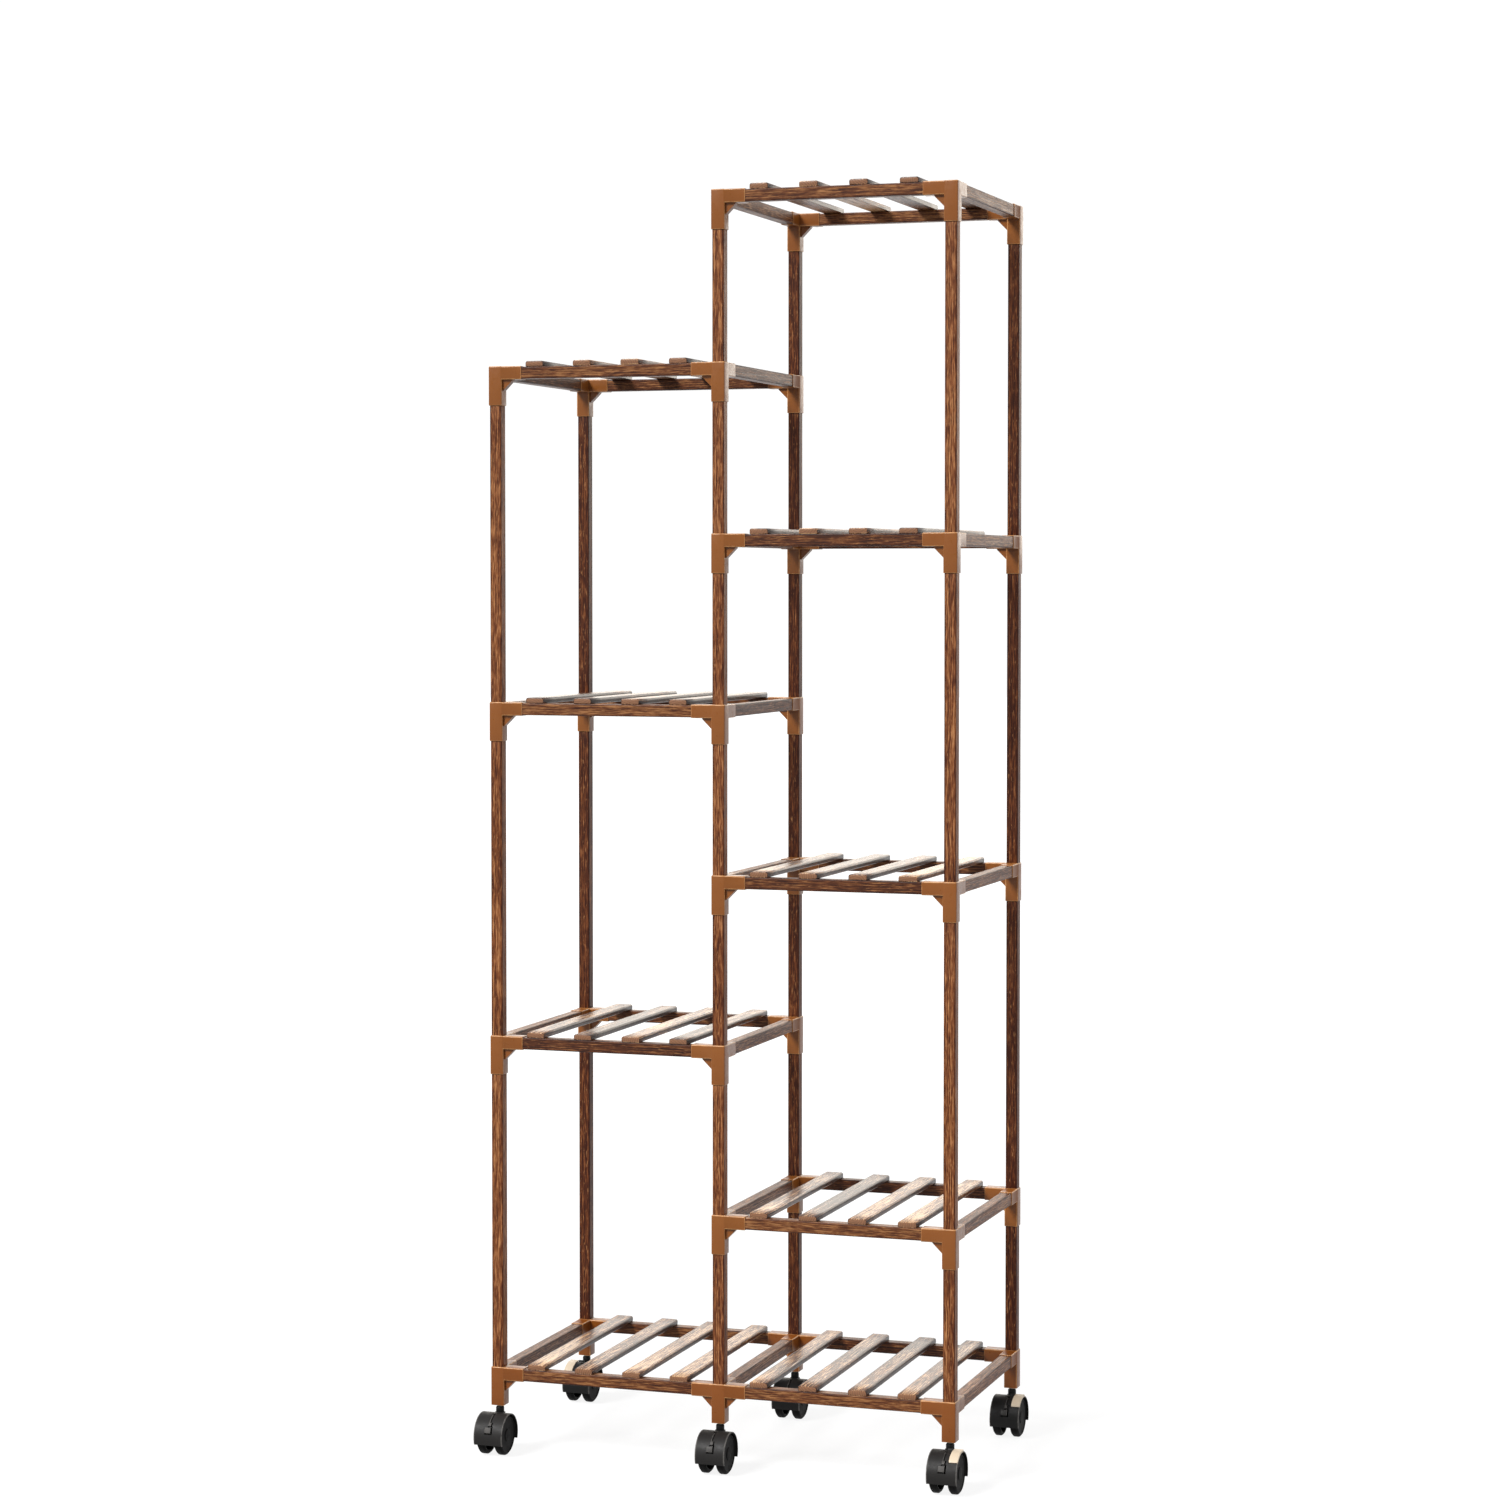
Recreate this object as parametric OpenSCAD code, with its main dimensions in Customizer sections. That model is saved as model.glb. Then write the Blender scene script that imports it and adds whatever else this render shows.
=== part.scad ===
// Rolling tiered plant stand: two columns of slatted shelves that share their middle posts,
// joined by moulded corner connectors and standing on six twin-wheel swivel casters.
// +X is the width, the front faces -Y, +Z is up. The origin is on the floor, below the
// middle of the overall box.

/* [Stand] */
// Distance between neighbouring post centres across the width
bay_w = 295; // [240:1:400]
// Distance between the front and back post centres
bay_d = 299; // [240:1:400]
// Height of the lowest tier's connector tops above the floor
first_tier = 109; // [108:1:160]
// Height from one tier to the next
tier_pitch = 210; // [150:1:300]

/* [Wood] */
// Side of the square sticks used for posts and rails
stick_w = 15; // [14:0.5:16]
// Rounding of the sticks' long edges
stick_edge_r = 1.2; // [0.5:0.1:2.5]
// Width of a shelf slat
slat_w = 24; // [18:1:32]
// Thickness of a shelf slat
slat_t = 7; // [6:0.5:10]
// Rounding of the slats' long edges
slat_edge_r = 2.4; // [0.5:0.1:2.8]
// Distance between slat centres
slat_pitch = 63.4; // [40:0.1:66]

/* [Connectors] */
// Outside width of a connector's sleeve and arms
conn_w = 17.4; // [17:0.1:19]
// Rounding of a connector's long outside edges
conn_edge_r = 1.6; // [0.5:0.1:2]
// Height of a connector, from its top face to the end of its lower sleeve
sleeve_h = 49; // [46:1:60]
// Distance from the post centre to the end of an arm
arm_end = 35; // [34:0.5:38]
// Depth of the arm sockets and of the lower socket
socket_d = 24; // [20:0.5:25]
// Depth of the top socket
top_socket_d = 18; // [12:0.5:20]
// Gap between a stick and its socket, each side
socket_fit = 0.1; // [0.05:0.05:0.2]
// Length of a gusset's two legs
gusset_leg = 13; // [8:0.5:16]
// Thickness of a gusset
gusset_t = 9; // [4:0.5:12]

/* [Casters] */
// Radius of a wheel
wheel_r = 25; // [24:0.5:26]
// Distance that the wheel axle sits in front of the swivel stem
trail = 14.4; // [13:0.1:16]
// Outside radius of the hood
hood_r = 27; // [26.9:0.1:27.4]
// Outside width of the hood
hood_w = 38.4; // [38:0.1:40]
// Height of the hood's lower edge above the floor
hood_floor = 16; // [12:0.5:20]
// Height of the top of the swivel collar above the floor
collar_top = 58; // [54:0.5:59]

/* [Hidden] */
$fn = 48;
TIERS = [[0, 2, 4, 6], [0, 1, 2, 3, 4, 5, 6, 7], [0, 1, 3, 5, 7]];
COLUMNS = ["left", "middle", "right"];
ROWS = ["front", "back"];
SHELVES = [TIERS[0], TIERS[2]];
PLACES = [for (row = [0, 1]) for (col = [0, 1, 2]) [col, row]];
BRAKES = [[2, 0, 1], [0, 1, -1], [2, 1, 1]];

function place_name(p) = str(ROWS[p[1]], "_", COLUMNS[p[0]]);
function shelf_name(side, i) = str(["left", "right"][side], "_", i + 1);
function post_x(col) = (col - 1) * bay_w;
function post_y(row) = (row - 0.5) * bay_d + trail;
function tier_z(k) = first_tier + k * tier_pitch;
function flatten(lists) = [for (l = lists) for (v = l) v];

// A stick's top face lies this far below its connector's top face
rail_drop = (conn_w - stick_w) / 2;
rail_mid = conn_w / 2;
post_cut = top_socket_d;
post_end = sleeve_h - socket_d;
slat_len = bay_d + stick_w;
joint_eps = 0.5;

nail_r = 0.6;
nail_head_r = 1.2;
nail_head_t = 0.6;
nail_len = 19.5;

stem_r = 3.5;
stem_bore_r = 3.55;
stem_foot = 31.2;
stem_len = 49;
stem_gap = 0.2;
boss_r = 5.2;
boss_foot = 29;
collar_chamfer = 1.4;
plug_bore_r = 3.52;
plug_bore_d = 20.5;

hood_t = 1.4;
web_t = 6;
axle_r = 3;
axle_len = 32;
axle_fit = 0.05;
axle_grip = 0.02;

wheel_in = 6.5;
wheel_out = 17;
hub_in = 3.3;
hub_r = 6;
rim_r = 20.5;
tread_in = 8.2;
tread_out = 15.2;
shoulder_drop = 2.3;
plate_in = 13.6;
plate_out = 16.1;
bore_end = 16.2;
cap_out = 16.8;
rim_lip = 1;
cap_lip = 1.5;
face_bevel = 0.5;

lever_in_r = wheel_r + 0.5;
lever_out_r = hood_r + 1.1;
lever_front = 40.5;
lever_back = 97;
lever_x = [7.6, 19];
pin_angle = 100;
pin_path_r = 27.1;
pin_r = 0.9;
pin_fit = 0.05;
pin_grip = 0.01;
pin_len = 18.8;
lever_hub_r = 1.7;
lug_r = 2;
lug_end = 6.9;
cut_gap = 0.4;
cut_front = 39.5;
cut_back = 104.5;

// The small moulded catch on the hood's front: [first angle, last angle, x from, x to, height]
CATCHES = [[14.5, 29.5, -4.4, 3.6, 0.8], [34, 43, -0.6, 3, 0.6]];

module rounded_rect(w, h, r) {
    square([w - 2 * r, h], center = true);
    square([w, h - 2 * r], center = true);
    for (x = [-1, 1], y = [-1, 1])
        translate([x * (w / 2 - r), y * (h / 2 - r)]) circle(r);
}

module stick(len) {
    linear_extrude(len) rounded_rect(stick_w, stick_w, stick_edge_r);
}

// Children that run along +Z are laid along +X or +Y
module along_x() { rotate([90, 0, 90]) children(); }
module along_y() { rotate([-90, 0, 0]) children(); }

module at_post(p) { translate([post_x(p[0]), post_y(p[1]), 0]) children(); }

// One post: a stick from each tier to the next one
module post(p) {
    tiers = TIERS[p[0]];
    color("#865a3c") at_post(p)
        for (i = [0:len(tiers) - 2])
            translate([0, 0, tier_z(tiers[i]) - post_cut])
                stick(tier_z(tiers[i + 1]) - tier_z(tiers[i]) + post_cut - post_end);
}

// The frame of one shelf: rails along the front, the back and the sides.
// Neighbouring shelves on the lowest tier share the middle side rail.
module rails(side, i) {
    k = SHELVES[side][i];
    end = arm_end - socket_d;
    color("#88603e") translate([0, 0, tier_z(k) - rail_mid]) {
        for (row = [0, 1])
            translate([post_x(side) + end, post_y(row), 0]) along_x() stick(bay_w - 2 * end);
        for (col = (side == 1) ? [1, 2] : (k == 0) ? [0] : [0, 1])
            translate([post_x(col), post_y(0) + end, 0]) along_y() stick(bay_d - 2 * end);
    }
}

function slat_x(side, n) = post_x(side) + bay_w / 2 + (n - 1.5) * slat_pitch;

module slats(side, i) {
    color("#96704f")
        for (n = [0:3])
            translate([slat_x(side, n), post_y(0) - stick_w / 2,
                       tier_z(SHELVES[side][i]) - rail_drop + slat_t / 2])
                along_y() linear_extrude(slat_len) rounded_rect(slat_w, slat_t, slat_edge_r);
}

// Brads driven up through the rails into the slats
module slat_nails() {
    color("silver")
        for (side = [0, 1], k = SHELVES[side], n = [0:3], row = [0, 1])
            translate([slat_x(side, n), post_y(row), tier_z(k) - rail_drop - stick_w]) {
                cylinder(h = nail_len, r = nail_r, $fn = 24);
                cylinder(h = nail_head_t, r = nail_head_r, $fn = 24);
            }
}

module socket(depth) {
    side = stick_w + 2 * socket_fit;
    translate([-side / 2, -side / 2, -1]) cube([side, side, depth + 1]);
}

// One corner connector, its top face at z = 0: a sleeve that hangs down the post,
// an arm for each rail and a gusset under each arm that runs along X
module connector(arms_x, arm_y, top_open) {
    reach = arm_end - socket_d;
    difference() {
        union() {
            translate([0, 0, -sleeve_h])
                linear_extrude(sleeve_h) rounded_rect(conn_w, conn_w, conn_edge_r);
            for (s = arms_x) scale([s, 1, 1]) {
                translate([0, 0, -rail_mid]) along_x()
                    linear_extrude(arm_end) rounded_rect(conn_w, conn_w, conn_edge_r);
                gusset();
            }
            translate([0, 0, -rail_mid]) scale([1, arm_y, 1]) along_y()
                linear_extrude(arm_end) rounded_rect(conn_w, conn_w, conn_edge_r);
        }
        translate([0, 0, -sleeve_h]) socket(socket_d);
        if (top_open) mirror([0, 0, 1]) socket(top_socket_d);
        for (s = arms_x) translate([s * arm_end, 0, -rail_mid]) rotate([0, -90 * s, 0]) socket(socket_d);
        translate([0, arm_y * arm_end, -rail_mid]) rotate([90 * arm_y, 0, 0]) socket(socket_d);
    }
}

module gusset() {
    x = conn_w / 2;
    rotate([90, 0, 0]) linear_extrude(gusset_t, center = true)
        polygon([
            [x - joint_eps, -conn_w + joint_eps], [x + gusset_leg, -conn_w + joint_eps],
            [x + gusset_leg, -conn_w], [x, -conn_w - gusset_leg], [x - joint_eps, -conn_w - gusset_leg]
        ]);
}

// Arms along X of the connector at a column's tier
function arms_at(col, k) =
    col == 0 ? [1] : col == 2 ? [-1] : k == 0 ? [-1, 1] : k % 2 == 0 ? [-1] : [1];

module connectors(col) {
    tiers = TIERS[col];
    color("#9d6638")
        for (row = [0, 1], k = tiers)
            at_post([col, row]) translate([0, 0, tier_z(k)])
                connector(arms_at(col, k), row == 0 ? 1 : -1, k != tiers[len(tiers) - 1]);
}

// A plug in each lowest connector takes the caster's stem
module caster_plugs() {
    color("#3a3a3a")
        for (p = PLACES) at_post(p) translate([0, 0, tier_z(0) - sleeve_h])
            difference() {
                stick(socket_d);
                translate([0, 0, -1]) cylinder(h = plug_bore_d + 1, r = plug_bore_r);
            }
}

module caster_stems() {
    color("dimgray")
        for (p = PLACES) at_post(p) translate([0, 0, stem_foot]) cylinder(h = stem_len, r = stem_r);
}

// Caster pieces: the stem's axis is z, the axle's axis is x at [y = -trail, z = wheel_r].
// On the axle's own frame, +X points forward, +Y up, and +Z to the left.
module on_axle() { translate([0, -trail, wheel_r]) rotate([90, 0, -90]) children(); }

// A curved block around the axle, by radius, by angle from straight ahead, and along x
module arc_block(r, angles, x) {
    on_axle() rotate([0, 0, angles[0]]) rotate_extrude(angle = angles[1] - angles[0], $fn = 96)
        translate([r[0], -x[1]]) square([r[1] - r[0], x[1] - x[0]]);
}

module hood_shell() {
    mid = hood_r - hood_t / 2;
    half = hood_w / 2 - hood_t / 2;
    on_axle() rotate_extrude($fn = 96) {
        translate([hood_r - hood_t, -half]) square([hood_t, 2 * half]);
        for (y = [-half, half]) translate([mid, y]) circle(hood_t / 2, $fn = 24);
    }
}

module at_pin() {
    on_axle() translate([pin_path_r * cos(pin_angle), pin_path_r * sin(pin_angle), 0]) children();
}

module hood(brake) {
    color("#2b2b2b") scale([brake < 0 ? -1 : 1, 1, 1])
        difference() {
            union() {
                hood_shell();
                on_axle() cylinder(h = web_t, r = hood_r - hood_t / 2, center = true, $fn = 96);
                translate([0, 0, boss_foot])
                    cylinder(h = collar_top - collar_chamfer - boss_foot, r = boss_r);
                translate([0, 0, collar_top - collar_chamfer])
                    cylinder(h = collar_chamfer, r1 = boss_r, r2 = boss_r - collar_chamfer);
                for (c = CATCHES)
                    arc_block([hood_r - hood_t / 2, hood_r + c[4]], [c[0], c[1]], [c[2], c[3]]);
                if (brake != 0) at_pin() mirror([0, 0, 1]) cylinder(h = lug_end, r = lug_r);
            }
            translate([-hood_w, -3 * hood_r, hood_floor - 3 * hood_r]) cube([2 * hood_w, 6 * hood_r, 3 * hood_r]);
            translate([0, 0, stem_foot - stem_gap]) cylinder(h = collar_top, r = stem_bore_r);
            on_axle() cylinder(h = web_t + 1, r = axle_r + axle_grip, center = true);
            if (brake != 0) {
                arc_block([lever_in_r - cut_gap, lever_out_r + 1], [cut_front, cut_back],
                          [lever_x[0] - cut_gap, hood_w]);
                at_pin() mirror([0, 0, 1]) cylinder(h = hood_w, r = pin_r + pin_grip);
            }
        }
}

module axle() {
    color("silver") on_axle() cylinder(h = axle_len, r = axle_r, center = true);
}

// A moulded wheel, hollow on its inner side, with a blind bore for the axle
module wheel(side) {
    shoulder = [for (t = [0:18:90])
        [wheel_r - shoulder_drop * (1 - sin(t)), wheel_in + (tread_in - wheel_in) * (1 - cos(t))]];
    edge = [for (t = [0:18:90])
        [wheel_r - shoulder_drop * (1 - cos(t)), tread_out + (wheel_out - tread_out) * sin(t)]];
    bore = axle_r + axle_fit;
    color("#1c1c1c") on_axle() scale([1, 1, -side]) rotate_extrude($fn = 96)
        polygon(concat(
            [[bore, bore_end], [bore, hub_in], [hub_r, hub_in], [hub_r, plate_in],
             [rim_r, plate_in], [rim_r, wheel_in]],
            shoulder, edge,
            [[rim_r + rim_lip, wheel_out], [rim_r - face_bevel, plate_out], [hub_r + cap_lip, plate_out],
             [hub_r + cap_lip - (cap_out - plate_out), cap_out], [0, cap_out], [0, bore_end]]));
}

// The lever covers a cut-out in the hood's shoulder and lifts about its pin
module brake_lever(side) {
    color("#bea594") scale([side, 1, 1])
        difference() {
            union() {
                arc_block([lever_in_r, lever_out_r], [lever_front, lever_back], lever_x);
                at_pin() translate([0, 0, -lever_x[1]])
                    cylinder(h = lever_x[1] - lever_x[0], r = lever_hub_r);
            }
            at_pin() mirror([0, 0, 1]) cylinder(h = hood_w, r = pin_r + pin_fit);
        }
}

module lever_pin(side) {
    color("silver") scale([side, 1, 1]) at_pin() mirror([0, 0, 1]) cylinder(h = pin_len, r = pin_r);
}

function brake_side(p) = [for (b = BRAKES) if (b[0] == p[0] && b[1] == p[1]) b[2]];
function brake_at(p) = len(brake_side(p)) > 0 ? brake_side(p)[0] : 0;

for (p = PLACES) post(p);
for (side = [0, 1], i = [0:len(SHELVES[side]) - 1])
    rails(side, i);
for (side = [0, 1], i = [0:len(SHELVES[side]) - 1])
    slats(side, i);
for (col = [0, 1, 2]) connectors(col);
slat_nails();
caster_plugs();
caster_stems();
for (p = PLACES) {
    at_post(p) hood(brake_at(p));
    at_post(p) axle();
    at_post(p) wheel(-1);
    at_post(p) wheel(1);
}
for (b = BRAKES) {
    at_post(b) brake_lever(b[2]);
    at_post(b) lever_pin(b[2]);
}
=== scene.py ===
"""Looks for the rolling tiered plant stand: timber, moulded connectors, casters, light and camera."""
import math
import random

import bmesh
import bpy
import numpy as np
from mathutils import Matrix, Vector


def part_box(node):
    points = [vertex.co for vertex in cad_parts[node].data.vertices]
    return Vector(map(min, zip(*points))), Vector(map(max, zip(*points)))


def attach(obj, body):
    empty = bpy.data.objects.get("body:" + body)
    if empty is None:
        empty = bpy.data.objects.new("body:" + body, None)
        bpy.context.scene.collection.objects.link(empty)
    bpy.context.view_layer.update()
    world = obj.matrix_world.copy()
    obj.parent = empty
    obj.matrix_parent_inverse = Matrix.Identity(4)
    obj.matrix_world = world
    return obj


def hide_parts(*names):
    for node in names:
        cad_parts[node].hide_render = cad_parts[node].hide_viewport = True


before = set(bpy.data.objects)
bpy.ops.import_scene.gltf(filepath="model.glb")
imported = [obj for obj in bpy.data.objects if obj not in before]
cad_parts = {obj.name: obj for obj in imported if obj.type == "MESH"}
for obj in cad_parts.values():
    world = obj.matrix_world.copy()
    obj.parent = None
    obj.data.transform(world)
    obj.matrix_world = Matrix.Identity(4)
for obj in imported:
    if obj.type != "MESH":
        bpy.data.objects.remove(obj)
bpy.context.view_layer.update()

MM = 0.001
COLUMNS = ("left", "middle", "right")
ROWS = ("front", "back")
TIERS = {"left": (0, 2, 4, 6), "middle": tuple(range(8)), "right": (0, 1, 3, 5, 7)}
SHELVES = {"left": (0, 2, 4, 6), "right": (0, 1, 3, 5, 7)}
BRAKES = {"front_right": 1, "back_left": -1, "back_right": 1}
PLACES = [f"{row}_{column}" for row in ROWS for column in COLUMNS]

# Sizes in millimetres, as in the CAD source
FIRST_TIER, TIER_PITCH = 109.0, 210.0
STICK_W, STICK_R = 15.0, 1.2
SLAT_W, SLAT_T, SLAT_PITCH = 24.0, 7.0, 63.4
CONN_W, SLEEVE_H, ARM_END = 17.4, 49.0, 35.0
SOCKET_D, TOP_SOCKET_D, SOCKET_W = 24.0, 18.0, 15.2
GUSSET_LEG, GUSSET_T = 13.0, 9.0
TRAIL, WHEEL_R, HOOD_R, HOOD_W, HOOD_T = 14.4, 25.0, 27.0, 38.4, 1.4
HOOD_FLOOR, COLLAR_TOP, COLLAR_R = 16.0, 58.0, 5.2


def place_xy(place):
    lo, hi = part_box("post_" + place)
    return (lo.x + hi.x) / 2 / MM, (lo.y + hi.y) / 2 / MM


POST = {p: place_xy(p) for p in PLACES}


def tier_z(k):
    return FIRST_TIER + k * TIER_PITCH


# ---------------------------------------------------------------- mesh tools

def finish_mesh(name, bm, material, smooth=35):
    """The bmesh, in millimetres, as an object in metres. Its edges are sharp past smooth degrees."""
    bmesh.ops.recalc_face_normals(bm, faces=bm.faces)
    mesh = bpy.data.meshes.new(name)
    bm.to_mesh(mesh)
    bm.free()
    mesh.transform(Matrix.Scale(MM, 4))
    mesh.materials.append(material)
    ob = bpy.data.objects.new(name, mesh)
    bpy.context.scene.collection.objects.link(ob)
    mesh.shade_smooth()
    mesh.set_sharp_from_angle(angle=math.radians(smooth))
    return ob


def evaluated(bm, modifiers):
    """The bmesh after these modifiers, each a (type, settings) pair."""
    mesh = bpy.data.meshes.new("scratch")
    bm.to_mesh(mesh)
    bm.free()
    ob = bpy.data.objects.new("scratch", mesh)
    bpy.context.scene.collection.objects.link(ob)
    for kind, settings in modifiers:
        m = ob.modifiers.new(kind, kind)
        for key, value in settings.items():
            setattr(m, key, value)
    out = bmesh.new()
    out.from_object(ob, bpy.context.evaluated_depsgraph_get())
    bpy.data.objects.remove(ob)
    bpy.data.meshes.remove(mesh)
    return out


def combined(bm, other, operation):
    """bm joined with, or cut by, the bmesh other, which is used up."""
    mesh = bpy.data.meshes.new("tool")
    bmesh.ops.recalc_face_normals(other, faces=other.faces)
    other.to_mesh(mesh)
    other.free()
    tool = bpy.data.objects.new("tool", mesh)
    bpy.context.scene.collection.objects.link(tool)
    bmesh.ops.recalc_face_normals(bm, faces=bm.faces)
    out = evaluated(bm, [("BOOLEAN", {"object": tool, "operation": operation, "solver": "EXACT"})])
    bpy.data.objects.remove(tool)
    bpy.data.meshes.remove(mesh)
    bmesh.ops.remove_doubles(out, verts=out.verts, dist=0.002)
    return out


def appended(bm, other, matrix=None):
    """Adds a copy of the bmesh other to bm, moved by matrix."""
    made = {}
    for v in other.verts:
        made[v] = bm.verts.new(matrix @ v.co if matrix else v.co)
    flip = matrix is not None and matrix.determinant() < 0
    for f in other.faces:
        loop = [made[v] for v in f.verts]
        bm.faces.new(reversed(loop) if flip else loop)


def box_bm(lo, hi):
    bm = bmesh.new()
    v = [bm.verts.new((x, y, z)) for x in (lo[0], hi[0]) for y in (lo[1], hi[1]) for z in (lo[2], hi[2])]
    for f in ((0, 1, 3, 2), (4, 6, 7, 5), (0, 4, 5, 1), (2, 3, 7, 6), (0, 2, 6, 4), (1, 5, 7, 3)):
        bm.faces.new([v[i] for i in f])
    return bm


def lathe(profile, steps=96, first=0.0, last=360.0):
    """A closed profile of (radius, x) points turned about the X axis, from angle first to last.
    Angle 0 points to -Y and 90 to +Z. A part turn is capped."""
    whole = abs(last - first - 360.0) < 1e-6
    count = steps if whole else max(2, int(round(steps * (last - first) / 360.0))) + 1
    bm = bmesh.new()
    rings = []
    for n in range(count):
        t = math.radians(first + (last - first) * n / (steps if whole else count - 1))
        rings.append([
            bm.verts.new((x, -r * math.cos(t), r * math.sin(t))) if r > 1e-6 or n == 0 else None
            for r, x in profile
        ])
    for ring in rings[1:]:
        for i, (r, x) in enumerate(profile):
            if ring[i] is None:
                ring[i] = rings[0][i]
    m = len(profile)
    for n in range(count if whole else count - 1):
        a, b = rings[n], rings[(n + 1) % count]
        for i in range(m):
            j = (i + 1) % m
            loop = [a[i], b[i], b[j], a[j]]
            loop = [v for q, v in enumerate(loop) if v is not loop[q - 1]]
            if len(loop) > 2 and len(set(loop)) == len(loop):
                bm.faces.new(loop)
    if not whole:
        bm.faces.new(rings[0])
        bm.faces.new(list(reversed(rings[-1])))
    bmesh.ops.recalc_face_normals(bm, faces=bm.faces)
    return bm


def rounded_profile(points, radius, steps=4):
    """A closed 2-D outline with each corner rounded. radius is a number, or one for each point."""
    out = []
    m = len(points)
    for i, p in enumerate(points):
        r = radius[i] if isinstance(radius, (list, tuple)) else radius
        p, a, b = (np.array(v, float) for v in (p, points[i - 1], points[(i + 1) % m]))
        if r <= 0:
            out.append(tuple(p))
            continue
        u, w = (a - p) / np.linalg.norm(a - p), (b - p) / np.linalg.norm(b - p)
        half = math.acos(max(-1.0, min(1.0, float(u @ w)))) / 2
        reach = r / math.tan(half)
        centre = p + (u + w) / np.linalg.norm(u + w) * r / math.sin(half)
        s, e = p + u * reach - centre, p + w * reach - centre
        turn = math.atan2(s[0] * e[1] - s[1] * e[0], float(s @ e))
        for q in range(steps + 1):
            t = turn * q / steps
            out.append((
                centre[0] + s[0] * math.cos(t) - s[1] * math.sin(t),
                centre[1] + s[0] * math.sin(t) + s[1] * math.cos(t),
            ))
    return out


# ---------------------------------------------------------------- materials

class Shader:
    """A material and short calls for its nodes."""

    def __init__(self, name):
        self.mat = bpy.data.materials.new(name)
        self.mat.use_nodes = True
        self.tree = self.mat.node_tree
        self.tree.nodes.clear()
        out = self.tree.nodes.new("ShaderNodeOutputMaterial")
        self.bsdf = self.tree.nodes.new("ShaderNodeBsdfPrincipled")
        self.tree.links.new(self.bsdf.outputs[0], out.inputs[0])

    def set(self, socket, value):
        if isinstance(value, bpy.types.NodeSocket):
            self.tree.links.new(value, socket)
        elif value is not None:
            socket.default_value = value

    def node(self, kind, inputs=(), **settings):
        n = self.tree.nodes.new(kind)
        for key, value in settings.items():
            setattr(n, key, value)
        for key, value in dict(inputs).items():
            self.set(n.inputs[key], value)
        return n

    def attribute(self, name, output):
        return self.node("ShaderNodeAttribute", attribute_name=name).outputs[output]

    def math(self, operation, a, b=None, c=None):
        return self.node("ShaderNodeMath", {0: a, 1: b, 2: c}, operation=operation).outputs[0]

    def vector(self, operation, a, b=None):
        return self.node("ShaderNodeVectorMath", {0: a, 1: b}, operation=operation).outputs[0]

    def noise(self, vector, scale=1.0, detail=3.0, roughness=0.55, output=0):
        return self.node(
            "ShaderNodeTexNoise",
            {"Vector": vector, "Scale": scale, "Detail": detail, "Roughness": roughness},
        ).outputs[output]

    def range(self, value, a, b, c, d):
        return self.node("ShaderNodeMapRange", {0: value, 1: a, 2: b, 3: c, 4: d}).outputs[0]

    def ramp(self, value, stops):
        n = self.node("ShaderNodeValToRGB", {0: value})
        while len(n.color_ramp.elements) < len(stops):
            n.color_ramp.elements.new(0.5)
        for e, (position, colour) in zip(n.color_ramp.elements, stops):
            e.position = position
            e.color = (*colour, 1.0)
        return n.outputs[0]

    def mix(self, factor, a, b):
        n = self.node("ShaderNodeMix", data_type="RGBA")
        self.set(n.inputs[0], factor)
        for socket, value in ((n.inputs[6], a), (n.inputs[7], b)):
            self.set(socket, (*value, 1.0) if isinstance(value, tuple) else value)
        return n.outputs[2]

    def bump(self, height, distance, strength):
        return self.node(
            "ShaderNodeBump", {"Height": height, "Distance": distance, "Strength": strength}
        ).outputs[0]

    def surface(self, **values):
        for key, value in values.items():
            self.set(self.bsdf.inputs[key.replace("_", " ")], value)
        return self.mat


def srgb(r, g, b):
    return tuple((c / 255 / 12.92) if c <= 10 else ((c / 255 + 0.055) / 1.055) ** 2.4 for c in (r, g, b))


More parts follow.
